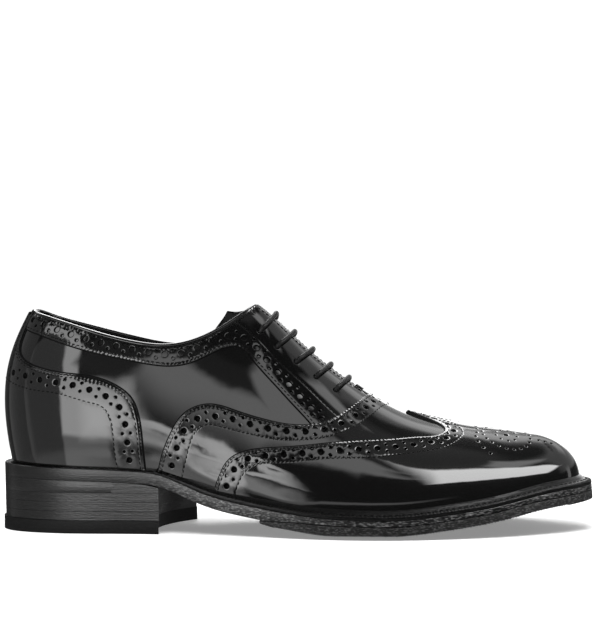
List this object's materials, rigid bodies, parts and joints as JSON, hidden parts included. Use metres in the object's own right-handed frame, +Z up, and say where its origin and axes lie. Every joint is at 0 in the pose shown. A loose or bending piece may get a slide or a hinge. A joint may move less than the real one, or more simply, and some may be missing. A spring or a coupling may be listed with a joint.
{
  "type": "elevator dress shoe",
  "caption": "Black wing-tip oxford with broguing, closed lacing, welted sole, ribbed rubber forepart, stacked heel and an insole raised under the heel.",
  "frame": {"origin": "on the floor, under the middle of the box round the shoe", "axes": "+X from heel to toe, +Y to the inner side of the foot, +Z up from the floor"},
  "size_m": [0.302, 0.1064, 0.1124],
  "materials": {
    "polished_leather": "black calf, brushed to a high gloss",
    "tongue_leather": "black calf, lightly polished",
    "lining_leather": "black lining leather, satin",
    "welt_leather": "black waxed welt with stitches",
    "sole_leather": "black burnished sole edge",
    "sole_rubber": "matt black rubber with fine ribs across its edge",
    "heel_leather": "stacked lifts, black and burnished",
    "heel_rubber": "matt black rubber",
    "lace": "round waxed cotton cord, black"
  },
  "bodies": {
    "root": {"upper": "polished_leather", "heel_counter": "polished_leather", "vamp": "polished_leather", "wing_cap": "polished_leather", "eyestay_outer": "polished_leather", "eyestay_inner": "polished_leather", "tongue": "tongue_leather", "insole": "lining_leather", "welt": "welt_leather", "outsole": "sole_leather", "tread": "sole_rubber", "heel_lift_1": "heel_leather", "heel_lift_2": "heel_leather", "heel_lift_3": "heel_leather", "heel_lift_4": "heel_leather", "top_lift": "heel_rubber", "lace_bar_1": "lace", "lace_bar_2": "lace", "lace_bar_3": "lace", "lace_bar_4": "lace", "lace_bar_5": "lace"}
  },
  "joints": []
}
